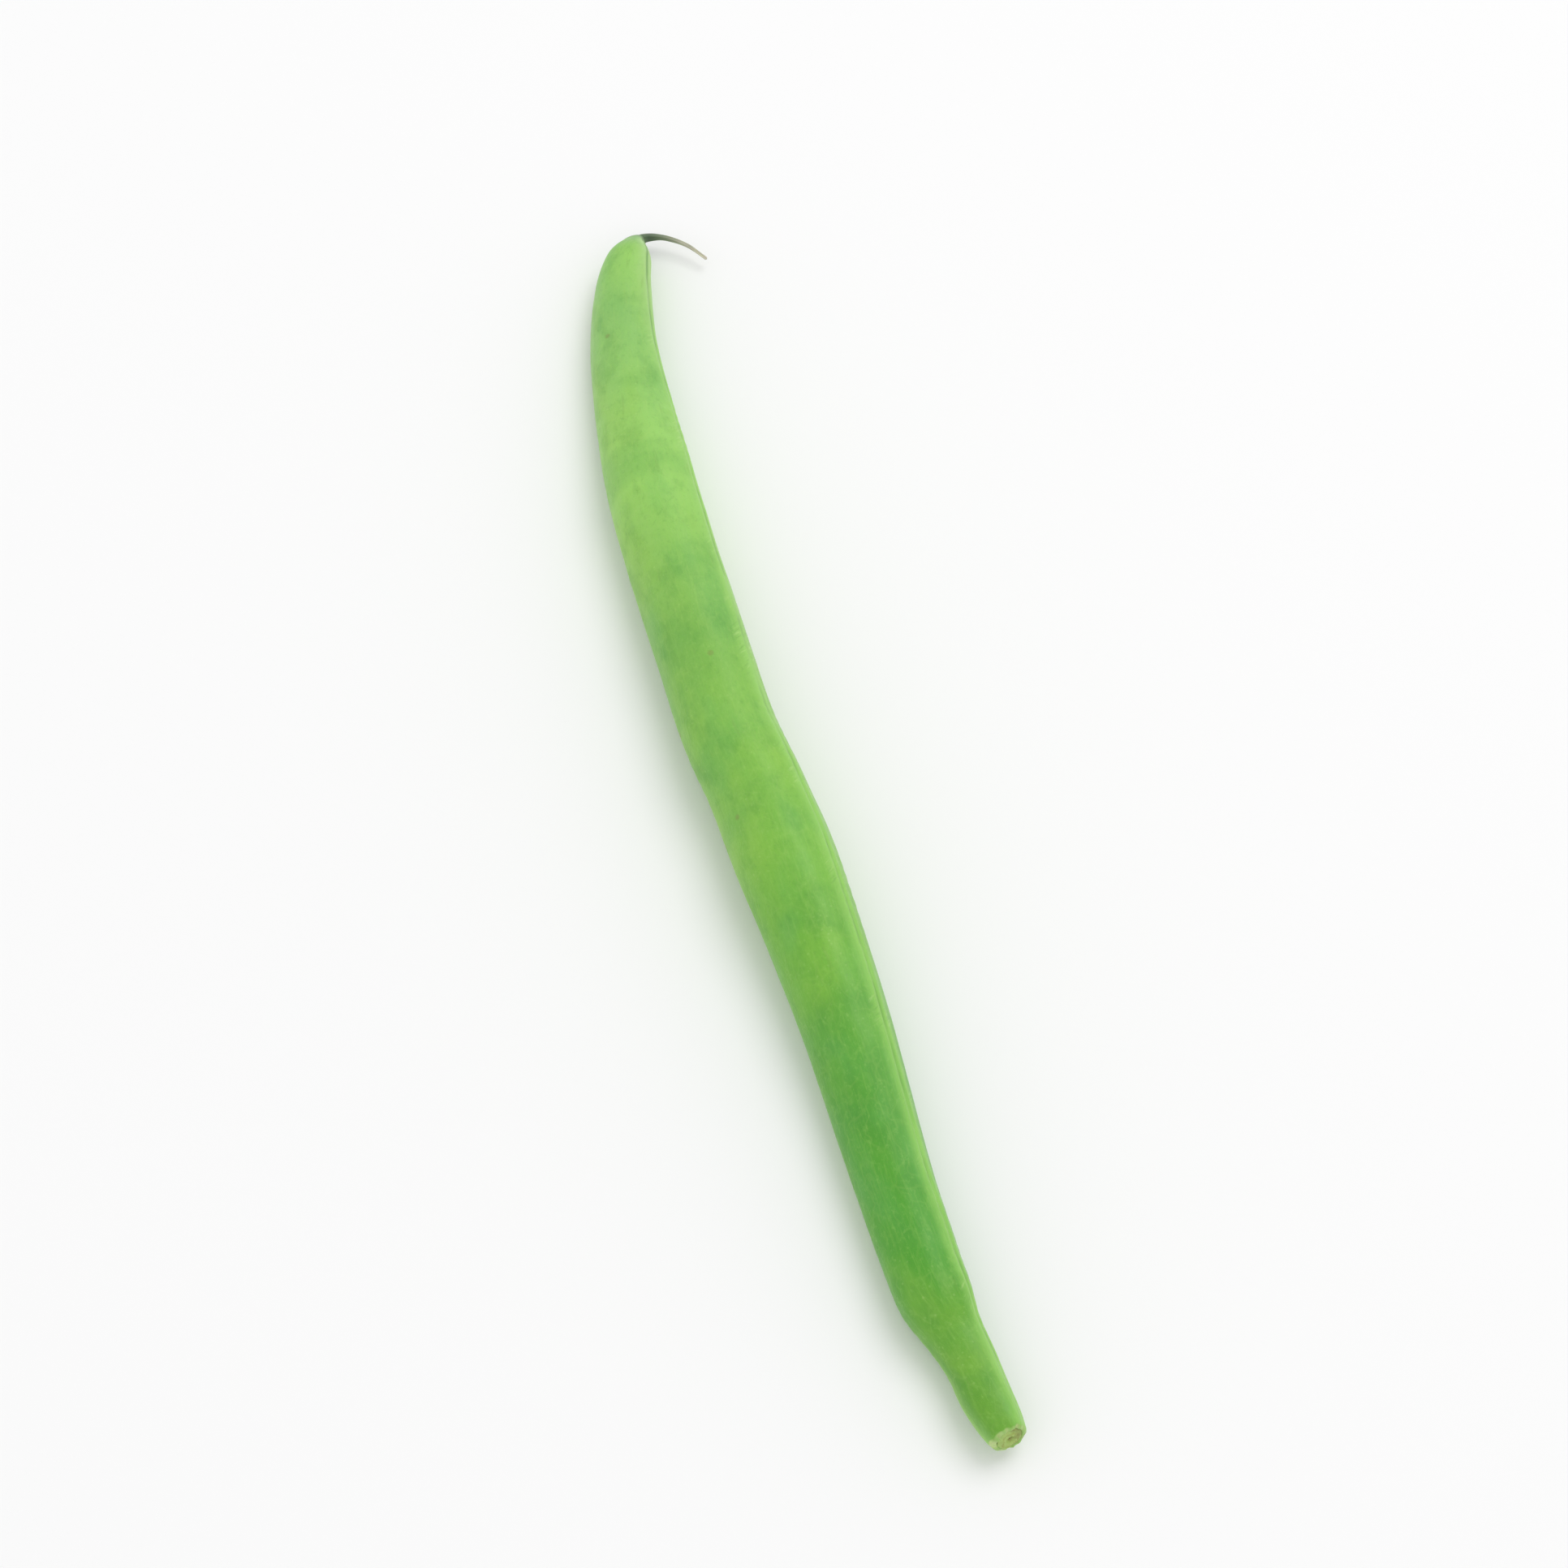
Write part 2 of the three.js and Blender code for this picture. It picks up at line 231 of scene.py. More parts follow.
def frames_at(distance):
    """The spine's points at some distances, with the directions along, across and up. The height is the
    section's own reach downwards plus its lift, less how deep the skin is pressed flat, and it dips along the
    thread with the square of the way out."""
    step = TIP_STEP / 2

    def point(place):
        place = np.clip(place, 0, to_end)
        share = np.minimum(1, place / to_root)
        half_depth, half_thickness = halves_at(np.minimum(place, to_root))
        roll = np.radians(smooth(ROLL, share))
        shares = np.stack([half_depth * np.sin(roll), half_thickness * np.cos(roll)])
        reach = (shares**REACH_EXPONENT).sum(0) ** (1 / REACH_EXPONENT)
        out = np.maximum(0, (place - to_root) / (to_end - to_root))
        height = reach - REST_DEPTH + smooth(LIFT, share) - THREAD_FALL * out**2
        x, y = (np.interp(place, spine_distance, axis) for axis in spine_path.T)
        return np.stack([x, y, height], -1)

    along = unit(point(distance + step) - point(distance - step))
    across = unit(np.cross(along, (0, 0, 1)))
    return point(distance), along, across, np.cross(across, along)


def seam_height(aside, groove_share, height, half_width, groove, groove_half_width):
    """A rounded rib with a share of a groove along its middle and a shallow valley at each foot, as a sum of
    bells."""
    rib = height * np.exp(-((aside / half_width) ** 2))
    middle = groove_share * groove * np.exp(-((aside / groove_half_width) ** 2))
    from_valley = (np.abs(aside) - VALLEY_PLACE * half_width) / (VALLEY_WIDTH * half_width)
    feet = VALLEY_DEPTH * height * np.exp(-(from_valley**2))
    return rib - middle - feet


def skin_at(distance, width, angle):
    """The pod's skin over a grid of distances along the spine and angles round it. The section is a
    superellipse, swollen by the seeds and ribbed by the seams, drawn in by the width, turned by the roll, set
    on the spine and slanted back near the neck's end. Also gives the same grid laid out straight, in
    millimetres: towards the right-hand seam, along, and towards the upper side. Last comes how full the
    section is, from 0 to 1."""
    centre, along, across, up = (field[:, None] for field in frames_at(distance))
    distance = distance[:, None]
    share = np.minimum(1, distance / to_root)
    half_depth, half_thickness = halves_at(distance)
    fullness = fade(half_depth, *FULL_BETWEEN)
    cos, sin = np.cos(angle), np.sin(angle)
    power = 2 / SECTION_EXPONENT
    outwards = np.sign(cos) * np.abs(cos) ** power * half_depth
    aside = np.sign(sin) * np.abs(sin) ** power * half_thickness
    for place, swelling, offset in SEEDS:
        seed_along = ((distance - place * to_root) / SEED_HALF_LENGTH) ** 2
        seed_across = ((outwards / half_depth + offset * 2) / SEED_HALF_BREADTH) ** 2
        aside = aside + np.sin(angle) * np.abs(sin) * swelling * np.exp(-seed_along - seed_across) * fullness
    # The seams waver a little to either side, as the strings under them do, and their grooves come and go.
    along_seam = np.stack([np.sign(cos) + 0 * distance, distance + 0 * cos, 0 * outwards], -1)
    waver = SEAM_WAVER * drift(along_seam, (1, 6, 1), 9)
    groove_share = GROOVE_MEAN + GROOVE_SWING * drift(along_seam, (1, 11, 1), 10)
    climb = SEAM_CLIMB * fade(share, *CLIMB_SHARES)
    right = seam_height(aside + waver - climb, groove_share, *RIGHT_SEAM)
    left = seam_height(aside + waver, groove_share, *LEFT_SEAM)
    seam = np.where(cos > 0, right, -left)
    # Midway between the seams, where the cosine is nothing but rounding, neither seam counts.
    outwards = outwards + seam * (np.abs(cos) > 1e-9) * fullness
    roll = np.radians(smooth(ROLL, share))
    x = (outwards * np.cos(roll) - aside * np.sin(roll)) * width[:, None]
    z = (outwards * np.sin(roll) + aside * np.cos(roll)) * width[:, None]
    back = END_SLANT * z * np.exp(-((distance / SLANT_FADE) ** 2))
    skin = centre + across * x[..., None] + up * z[..., None] + along * back[..., None]
    straight = np.stack([outwards, distance + 0 * outwards, aside], -1)
    return skin, straight, fullness


def relief_at(straight, angle, fullness):
    """How far the skin is sunk below the plain form, in millimetres: broad and fine dents and grain, all of
    noise, faint creases across the pod in patches, flutes round the neck that die away as e to the minus
    distance, and along the thread raised ribs, roughened by noise."""
    along = straight[..., 1]
    dents = BROAD_DENT * drift(straight, (4, 10, 4), 1) + FINE_DENT * drift(straight, (2, 3.6, 2), 2)
    grain = GRAIN * drift(straight, (0.7, 1.3, 0.7), 3)
    patches = fade(drift(straight, (5, 8, 5), 4), 0.0, 0.7)
    waver = along + CREASE_WAVER * drift(straight, (2.5, 3, 2.5), 5)
    creases = CREASE_DEPTH * patches * np.sin(2 * np.pi * waver / CREASE_SPACING)
    flutes = FLUTE_DEPTH * np.cos(FLUTES * angle + FLUTE_TURN) * np.exp(-along / FLUTE_REACH)
    out = fade(along, to_root, to_root + 1)
    ribs = THREAD_RIB_HEIGHT * out * np.cos(THREAD_RIBS * angle + THREAD_TWIST * along)
    rough_ribs = ribs + THREAD_ROUGHNESS * out * drift(straight, (0.6, 0.9, 0.6), 6)
    return fullness * (dents + grain + creases) + flutes - rough_ribs


def grid_faces(rings, sides):
    """Quads that face outwards between neighbouring rings of points, in order round and along. The first ring
    starts at index 1."""
    ring, side = np.meshgrid(np.arange(rings - 1), np.arange(sides), indexing="ij")
    here = 1 + ring * sides + side
    beside = 1 + ring * sides + (side + 1) % sides
    return np.stack([here, here + sides, beside + sides, beside], -1).reshape(-1, 4)


def closed_mesh(name, start, grid, tip):
    """A mesh object through a grid of points, rings by sides, closed by a fan to a point at each end."""
    rings, sides = grid.shape[:2]
    points = np.concatenate([[start], grid.reshape(-1, 3), [tip]]) * MM
    side = np.arange(sides)
    beside = (side + 1) % sides
    last = 1 + (rings - 1) * sides
    first_fan = np.stack([0 * side, 1 + side, 1 + beside], -1)
    last_fan = np.stack([0 * side + len(points) - 1, last + beside, last + side], -1)
    faces = grid_faces(rings, sides).tolist() + first_fan.tolist() + last_fan.tolist()
    mesh = bpy.data.meshes.new(name)
    mesh.from_pydata(points, [], faces)
    mesh.shade_smooth()
    piece = bpy.data.objects.new(name, mesh)
    bpy.context.scene.collection.objects.link(piece)
    return piece


def add_attribute(piece, name, start, grid, tip):
    """A vector at each point of a closed mesh, in the order of its points."""
    values = np.concatenate([[start], grid.reshape(-1, 3), [tip]]).astype(np.float32)
    attribute = piece.data.attributes.new(name, "FLOAT_VECTOR", "POINT")
    attribute.data.foreach_set("vector", values.ravel())


def ring_distances(start):
    """Places of the rings: close together over the neck's end, the beak and the thread, wider on the body."""
    beak = CLOSE_AGAIN_FROM * to_root
    neck_rings = np.arange(start, CLOSE_UP_TO, TIP_STEP)
    body_rings = np.linspace(CLOSE_UP_TO, beak, round((beak - CLOSE_UP_TO) / BODY_STEP), endpoint=False)
    beak_rings = np.arange(beak, to_end - TIP_STEP / 2, TIP_STEP)
    return np.concatenate([neck_rings, body_rings, beak_rings])


def out_of_round(angle):
    """How far the neck's hollow departs from round at each angle, as a share of its width: coarse and fine
    noise round a circle."""
    circle = np.stack([np.cos(angle), 0 * angle, np.sin(angle)], -1)
    return HOLLOW_COARSE * drift(circle, (0.8, 1, 0.8), 13) + HOLLOW_FINE * drift(circle, (0.3, 1, 0.3), 14)


rim_share = np.linspace(0, 1, RIM_RINGS)
rim_distance = smooth([(share, distance) for share, distance, _ in RIM], rim_share)
rim_width = smooth([(share, width) for share, _, width in RIM], rim_share)
outer_distance = ring_distances(rim_distance[-1] + TIP_STEP)
pod_distance = np.concatenate([rim_distance, outer_distance])
pod_width = np.concatenate([rim_width, np.ones(len(outer_distance))])
even = 2 * np.pi * np.arange(POD_SIDES) / POD_SIDES
pod_angle = even - SIDE_CROWDING * np.sin(2 * even)
pod_skin, pod_straight, pod_fullness = skin_at(pod_distance, pod_width, pod_angle)
along_skin = np.gradient(pod_skin, axis=0)
round_skin = np.roll(pod_skin, -1, axis=1) - np.roll(pod_skin, 1, axis=1)
pod_normal = unit(np.cross(along_skin, round_skin))
pod_relief = relief_at(pod_straight, pod_angle, pod_fullness)
end_on = pod_straight * (1, 0, 1)
torn = drift(end_on, (0.45, 1, 0.45), 7) + 0.5 * drift(end_on, (0.2, 1, 0.2), 8)
# How bare of skin each point is: wholly within the hollow and over the rim, and not at all a little way down
# the neck. The skin tore off raggedly, furthest down at the lower left.
neck_width = halves_at(rim_distance)[0]
past_rim = np.concatenate([neck_width * (rim_width - rim_width[-1]), outer_distance - rim_distance[-1]])
torn_down = TEAR_RAGGED * torn - TEAR_LEFT * np.cos(pod_angle) - TEAR_BELOW * np.sin(pod_angle)
pod_broken = 1 - fade(past_rim[:, None] - torn_down, *SKIN_TEAR)
torn_edge = np.exp(-((pod_distance / EDGE_REACH) ** 2)) * (pod_distance < RIM[0][1])
# The hollow is torn out of round: its wall moves in or out by a share of how wide it is.
pod_hollow = np.concatenate([1 - fade(rim_share, *HOLLOW_FADE), np.zeros(len(outer_distance))])[:, None]
pod_centre = frames_at(pod_distance)[0][:, None]
pod_skin = pod_centre + (pod_skin - pod_centre) * (1 + pod_hollow * out_of_round(pod_angle))[..., None]
pod_skin = pod_skin - pod_normal * (pod_relief * (1 - pod_broken))[..., None]
pod_skin = pod_skin + frames_at(pod_distance)[1][:, None] * (EDGE_JUT * torn_edge[:, None] * torn)[..., None]
pod_skin[..., 2] = np.maximum(0, pod_skin[..., 2])

# The whole is set to the size and place of the solid that it stands for.
pod_tip = frames_at(np.array([to_end]))[0][0]
own_low = np.minimum(pod_skin.min((0, 1)), pod_tip)
own_high = np.maximum(pod_skin.max((0, 1)), pod_tip)
solid_low, solid_high = (np.array(corner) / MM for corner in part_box("pod"))
fit_scale = (solid_high - solid_low) / (own_high - own_low)


def fitted(points):
    """Points moved and stretched, by a hair, so that the pod's box is its solid's box."""
    return solid_low + (points - own_low) * fit_scale


hollow_floor = frames_at(rim_distance[:1])[0][0]
pod = closed_mesh("bean_pod", fitted(hollow_floor), fitted(pod_skin), fitted(pod_tip))
add_attribute(pod, "straight", (0, 0, 0), pod_straight, (0, to_end, 0))
broken_grid = np.stack([pod_broken, torn, 0 * torn], -1)
add_attribute(pod, "broken", (1, 0, 0), broken_grid, (0, 0, 0))

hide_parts("pod")
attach(pod, "root")


class Value:
    """A shader socket with arithmetic: each operator adds a Math node and gives back its result."""

    def __init__(self, paint, socket):
        self.paint = paint
        self.socket = socket

    def maths(self, operation, *operands):
        inputs = dict(enumerate((self, *operands)))
        return self.paint.node("ShaderNodeMath", {"operation": operation}, inputs)

    def __add__(self, other):
        return self.maths("ADD", other)

    def __sub__(self, other):
        return self.maths("SUBTRACT", other)

    def __rsub__(self, other):
        return (self * -1) + other

    def __mul__(self, other):
        return self.maths("MULTIPLY", other)

    def __truediv__(self, other):
        return self.maths("DIVIDE", other)

    def __pow__(self, other):
        return self.maths("POWER", other)

    def __abs__(self):
        return self.maths("ABSOLUTE")

    __radd__ = __add__
    __rmul__ = __mul__

    def between(self, low, high, result_low=0, result_high=1):
        """A smooth step from result_low, at low and below, to result_high, at high and above."""
        settings = {"interpolation_type": "SMOOTHSTEP"}
        inputs = {0: self, 1: low, 2: high, 3: result_low, 4: result_high}
        return self.paint.node("ShaderNodeMapRange", settings, inputs)

    def line(self, half_width):
        """1 where the value is 0, and down to 0 where it is the half width either way."""
        return abs(self).between(0, half_width, 1, 0)


class Paint:
    """A material and its nodes."""

    def __init__(self, name):
        self.material = bpy.data.materials.new(name)
        self.material.use_nodes = True
        self.tree = self.material.node_tree
        self.shader = self.tree.nodes["Principled BSDF"]

    def put(self, socket, value):
        """Links a value that varies to a socket, or sets the socket to a plain one."""
        if isinstance(value, Value):
            self.tree.links.new(value.socket, socket)
        else:
            socket.default_value = value

    def node(self, kind, settings, inputs, output=0):
        """Adds a node. Its settings come first, with a ramp's stops, then the values or links of its
        sockets."""
        node = self.tree.nodes.new(kind)
        for name, value in settings.items():
            if name == "stops":
                set_stops(node.color_ramp, value)
            else:
                setattr(node, name, value)
        for key, value in inputs.items():
            self.put(node.inputs[key], value)
        return Value(self, node.outputs[output])

    def attribute(self, name):
        """The vector that the mesh holds under a name."""
        return self.node("ShaderNodeAttribute", {"attribute_name": name}, {}, "Vector")

    def parts(self, vector):
        """The three numbers of a vector."""
        return [self.node("ShaderNodeSeparateXYZ", {}, {0: vector}, i) for i in range(3)]

    def noise(self, vector, scale, detail=2.0, roughness=0.5):
        """Fractal noise round 0.5, with a scale in lumps to the unit of the vector."""
        inputs = {"Vector": vector, "Scale": scale, "Detail": detail, "Roughness": roughness}
        return self.node("ShaderNodeTexNoise", {}, inputs)

    def cells(self, vector, scale, feature, output):
        """A pattern of cells round scattered points, with a scale in cells to the unit of the vector."""
        inputs = {"Vector": vector, "Scale": scale}
        return self.node("ShaderNodeTexVoronoi", {"feature": feature}, inputs, output)

    def stretch(self, vector, scale):
        """A vector with each of its parts multiplied."""
        return self.node("ShaderNodeVectorMath", {"operation": "MULTIPLY"}, {0: vector, 1: scale})

    def warp(self, vector, scale, amount):
        """A vector pushed about by noise, by up to half the amount each way."""
        inputs = {"Vector": vector, "Scale": scale, "Detail": 1.0}
        push = self.node("ShaderNodeTexNoise", {}, inputs, "Color")
        settings = {"operation": "MULTIPLY_ADD"}
        return self.node("ShaderNodeVectorMath", settings, {0: push, 1: (amount,) * 3, 2: vector})

    def mix(self, share, first, second):
        """The first colour where the share is 0, and the second where it is 1."""
        return self.node("ShaderNodeMix", {"data_type": "RGBA"}, {0: share, 6: first, 7: second}, 2)

    def ramp(self, value, stops):
        """Colours by value: pairs of a place from 0 to 1 and a colour."""
        return self.node("ShaderNodeValToRGB", {"stops": stops}, {0: value})

    def finish(self, piece, **inputs):
        """Sets the shader's inputs, whose names are written with underscores, and gives the piece the
        material."""
        for name, value in inputs.items():
            self.put(self.shader.inputs[name.replace("_", " ")], value)
        piece.data.materials.append(self.material)


def set_stops(ramp, stops):
    """Gives a colour ramp these pairs of a place and a colour."""
    while len(ramp.elements) < len(stops):
        ramp.elements.new(0.5)
    for element, (place, colour) in zip(ramp.elements, stops):
        element.position = place
        element.color = colour


def colour(red, green, blue):
    """A shader colour from the 0 to 255 numbers that a colour picker shows."""
    shares = np.array([red, green, blue]) / 255
    linear = np.where(shares <= 0.04045, shares / 12.92, ((shares + 0.055) / 1.055) ** 2.4)
    return (*linear.tolist(), 1)


skin = Paint("fresh_bean_skin")
straight = skin.attribute("straight")
outwards, along, aside = skin.parts(straight)
broken, torn_value, _ = skin.parts(skin.attribute("broken"))

# From a deeper green at the stalk end to a paler one at the beak.
body = skin.ramp(
    along / float(to_root),
    [
        (0.0, colour(108, 168, 44)),
        (0.05, colour(96, 162, 38)),
        (0.13, colour(78, 160, 34)),
        (0.25, colour(84, 162, 40)),
        (0.36, colour(112, 180, 52)),
        (0.48, colour(132, 192, 68)),
        (0.63, colour(128, 186, 76)),
        (0.76, colour(154, 210, 98)),
        (0.91, colour(138, 194, 100)),
        (0.97, colour(150, 206, 96)),
        (1.0, colour(112, 160, 84)),
    ],
)
# Clouds of yellower and of bluer green, some drawn out across the pod, then smaller patches of deeper green.
clouds = skin.noise(skin.stretch(straight, (1, 0.5, 1)), 0.24, 2)
body = skin.mix(clouds.between(0.5, 0.7) * 0.25, body, colour(150, 200, 70))
body = skin.mix(clouds.between(0.5, 0.3) * 0.3, body, colour(96, 174, 84))
bands = skin.noise(skin.stretch(straight, (0.4, 1, 0.4)), 0.17, 2)
body = skin.mix(bands.between(0.5, 0.7) * 0.3, body, colour(78, 156, 58))
mottle = skin.noise(skin.stretch(straight, (1, 0.6, 1)), 0.55, 5, 0.55)
body = skin.mix(mottle.between(0.46, 0.7) * 0.24, body, colour(66, 140, 44))
stipple = skin.noise(skin.stretch(straight, (1, 0.7, 1)), 2.6, 4, 0.7)
body = skin.mix(stipple.between(0.52, 0.72) * 0.2, body, colour(74, 140, 44))
body = skin.mix(stipple.between(0.48, 0.28) * 0.2, body, colour(160, 210, 104))
# A faint net of paler veins, drawn out along the pod.
net = skin.cells(skin.stretch(skin.warp(straight, 0.7, 1.6), (1, 0.45, 1)), 0.75, "DISTANCE_TO_EDGE", 0)
veins = net.between(0, 0.09, 1, 0) * mottle.between(0.3, 0.6)
body = skin.mix(veins * 0.1, body, colour(164, 208, 100))
# Fine pale fibres, and pale pores that come and go in patches.
fibres = skin.noise(skin.stretch(straight, (1, 0.08, 1)), 4.5, 3, 0.6)
body = skin.mix(fibres.between(0.48, 0.75) * 0.18, body, colour(156, 206, 92))
pores = skin.cells(straight, 1.7, "F1", "Distance").between(0.08, 0.22, 1, 0)
body = skin.mix(pores * clouds.between(0.42, 0.62) * 0.18, body, colour(180, 216, 126))
# The seams: a pale fibrous rib, broader on the neck and greyer by the beak, with a thin darker line in its
# groove, which comes and goes, and on its lips patches of short slanting dashes, pale and dark, over the ends
# of the strings. The rib's paleness is partly its own colour and partly a painted highlight where it catches
# the light, its greyer colour by the beak is a painted sheen, and over the beak the groove's darker line is
# stronger, partly as painted shade along the beak's edge.
on_beak = along.between(CLIMB_SHARES[0] * float(to_root), CLIMB_SHARES[1] * float(to_root))
to_the_right = outwards.between(-0.1, 0.1)
climbed = aside - on_beak * to_the_right * SEAM_CLIMB
waver = (skin.noise(straight, 0.7, 2) - 0.5) * 0.3
off_seam = abs(climbed + waver) - along.between(4, 12, 0.3, 0)
rib_streaks = skin.noise(skin.stretch(straight, (1, 0.05, 1)), 3.4, 2, 0.6)
rib = off_seam.between(0.15, 1.3, 1, 0) * abs(outwards).between(0.5, 1.3)
rib = rib * rib_streaks.between(0.3, 0.7, 0.66, 0.9)
# The rib's pale colour is partly a painted highlight, and its greyer colour by the beak a painted sheen.
body = skin.mix(rib, body, skin.mix(on_beak, colour(150, 205, 98), colour(168, 208, 130)))
comes_and_goes = skin.noise(skin.stretch(straight, (0.3, 1, 0.3)), 0.21, 2).between(0.42, 0.64, 0.04, 0.34)
groove = (climbed + waver * 0.5).line(0.26) * abs(outwards).between(0.3, 0.9)
# Over the beak the groove's darker line is stronger, partly as painted shade.
body = skin.mix(groove * (comes_and_goes + on_beak * 0.35), body, colour(76, 132, 46))
slant = skin.node(
    "ShaderNodeCombineXYZ", {}, {0: outwards * 0.5, 1: along * 3.4 + aside * 2.6, 2: aside * 0.9}
)
dashes = skin.noise(slant, 0.8, 2, 0.5)
in_patches = skin.noise(skin.stretch(straight, (0.2, 1, 0.2)), 0.13, 1).between(0.5, 0.6)
lips = (off_seam - 0.6).line(0.6) * abs(outwards).between(1.4, 3) * in_patches
body = skin.mix(lips * dashes.between(0.56, 0.7) * 0.34, body, colour(190, 222, 140))
body = skin.mix(lips * dashes.between(0.44, 0.32) * 0.3, body, colour(84, 144, 54))
# Rubs along the pod, and a scatter of small russet spots.
rubs = skin.noise(skin.stretch(straight, (1, 0.12, 1)), 1.9, 2, 0.5).between(0.66, 0.74)
body = skin.mix(rubs * 0.14, body, colour(118, 148, 76))
spot_cell = skin.cells(straight, 0.34, "F1", "Color")
spot_pick = skin.parts(spot_cell)[0].between(0.78, 0.84)
spots = skin.cells(straight, 0.34, "F1", "Distance").between(0.05, 0.12, 1, 0) * spot_pick
body = skin.mix(spots * 0.45, body, colour(128, 124, 62))
# The thread, dry and grey.
out = (along - float(to_root)) / float(to_end - to_root)
thread_colour = skin.ramp(
    out,
    [
        (0.0, colour(88, 116, 78)),
        (0.12, colour(70, 92, 64)),
        (0.3, colour(112, 122, 98)),
        (0.55, colour(162, 158, 142)),
        (1.0, colour(212, 202, 188)),
    ],
)
thread_streaks = skin.noise(skin.stretch(straight, (3, 0.5, 3)), 1.5, 3, 0.6)
thread_colour = skin.mix(thread_streaks.between(0.4, 0.7) * 0.3, thread_colour, colour(72, 80, 60))
dried_back = (thread_streaks - 0.5) * 0.5
body = skin.mix((out + dried_back).between(-0.24, 0.05), body, thread_colour)
# The broken end of the neck is pale inside, and browned in patches, more towards its right-hand side.
flesh = skin.mix(torn_value.between(-0.6, 0.9), colour(150, 192, 98), colour(188, 212, 134))
browning = skin.noise(straight, 3.2, 3, 0.6).between(0.52, 0.7) * outwards.between(-1.2, 1.2, 0.2, 0.6)
flesh = skin.mix(browning, flesh, colour(154, 136, 74))
body = skin.mix(broken.between(0.2, 0.9), body, flesh)

pebbles = skin.noise(straight, 5.5, 3, 0.6)
down = skin.noise(skin.stretch(straight, (1, 0.5, 1)), 14, 2, 0.5)
height = fibres * 0.5 + pebbles * 0.7 + down * 0.35 + mottle * 0.3 + stipple * 0.6 - veins * 0.25
bump = skin.node("ShaderNodeBump", {}, {"Strength": 0.6, "Distance": 0.00005, "Height": height})
skin.finish(
    pod,
    Base_Color=body,
    Roughness=mottle.between(0.25, 0.75, 0.38, 0.52) + rubs * 0.12,
    Normal=bump,
    Subsurface_Weight=0.2,
    Subsurface_Radius=(0.5, 1.0, 0.25),
    Subsurface_Scale=0.001,
    Specular_IOR_Level=0.45,
    Sheen_Weight=0.2,
    Sheen_Roughness=0.45,
    Sheen_Tint=colour(225, 245, 200),
)

# The dried end of the stalk: a plug of torn woody fibres that sits in the neck's hollow, where the pod broke
# from the plant. It has dried to a pale olive green, and to brown in the middle and on its right, where the
# brown is partly painted shade. It is sunk in the middle and raised in a ring round it.

STEM_END_RISE = 0.2  # how far it stands out of the neck
CLEARANCE = 0.05  # between its foot and the hollow's floor and wall; higher up it swells to meet the wall
STEM_END_SIDES = 96
STEM_END_RINGS = 60
TOP_BETWEEN = (0.28, 0.42)  # the shares of the way between which its flank turns into its ragged top
TOP_SUNK = 0.09  # how far the top is lowered on the whole
TOP_RAGGED = 0.07  # how much of the fibre ends' noise is taken off that
FLANK_RAGGED = 0.015  # how far they draw its width in, as a share of it
# From its foot to the pit in its middle: a share of the way, how wide and how high, as shares of its own.
STEM_END_PROFILE = [
    (0.0, 0.9, 0.0), (0.1, 1.0, 0.15), (0.24, 1.24, 0.6), (0.34, 1.17, 0.8), (0.42, 1.03, 0.94),
    (0.56, 0.68, 1.0), (0.76, 0.36, 0.9), (0.9, 0.16, 0.74), (1.0, 0.02, 0.72),
]  # fmt: skip
stem_share = np.linspace(0, 1, STEM_END_RINGS)
stem_width = smooth([(share, width) for share, width, _ in STEM_END_PROFILE], stem_share)[:, None]
stem_rise = smooth([(share, rise) for share, _, rise in STEM_END_PROFILE], stem_share)[:, None]
stem_angle = (2 * np.pi * np.arange(STEM_END_SIDES) / STEM_END_SIDES)[None]
stem_radius = float(min(halves_at(np.array(0.0)))) * RIM[0][2] - CLEARANCE
stem_height = RIM[0][1] - CLEARANCE + STEM_END_RISE
stem_flat_x = stem_width * np.cos(stem_angle)
stem_flat_y = stem_width * np.sin(stem_angle)
stem_flat = np.stack([stem_flat_x, stem_flat_y, stem_rise + 0 * stem_angle], -1)
# It is ragged with fibre ends: coarse and fine noise, which lowers its top unevenly and draws its width in.
fibre_ends = drift(stem_flat, (0.3, 0.3, 3), 11) + 0.6 * drift(stem_flat, (0.12, 0.12, 3), 12)
stem_top = fade(stem_share, *TOP_BETWEEN)[:, None]
stem_lower = np.maximum(0, TOP_SUNK - TOP_RAGGED * fibre_ends) * stem_top
# It is as far out of round as the hollow, whose angles run the other way and start at the rolled seam.
stem_round = 1 + out_of_round(-stem_angle - math.radians(ROLL[0][1]))
stem_out = stem_width * stem_radius * (stem_round - FLANK_RAGGED * (1 + fibre_ends))
stem_centre, stem_along, stem_across, stem_up = (field[0] for field in frames_at(np.array([0.0])))
stem_foot = stem_centre + stem_along * (RIM[0][1] - CLEARANCE)
stem_x = stem_out * np.cos(stem_angle)
stem_z = -stem_out * np.sin(stem_angle)
stem_back = END_SLANT * stem_z + stem_lower - stem_rise * stem_height
stem_grid = (
    stem_foot
    + stem_along * stem_back[..., None]
    + stem_across * stem_x[..., None]
    + stem_up * stem_z[..., None]
)
stem_pit = stem_foot - stem_along * (STEM_END_PROFILE[-1][2] * stem_height - TOP_SUNK)
stem_end = closed_mesh("bean_stem_end", fitted(stem_foot), fitted(stem_grid), fitted(stem_pit))
add_attribute(stem_end, "across_grain", (0, 0, 0), stem_flat, (0, 0, STEM_END_PROFILE[-1][2]))
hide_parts("stem_end")
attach(stem_end, "root")

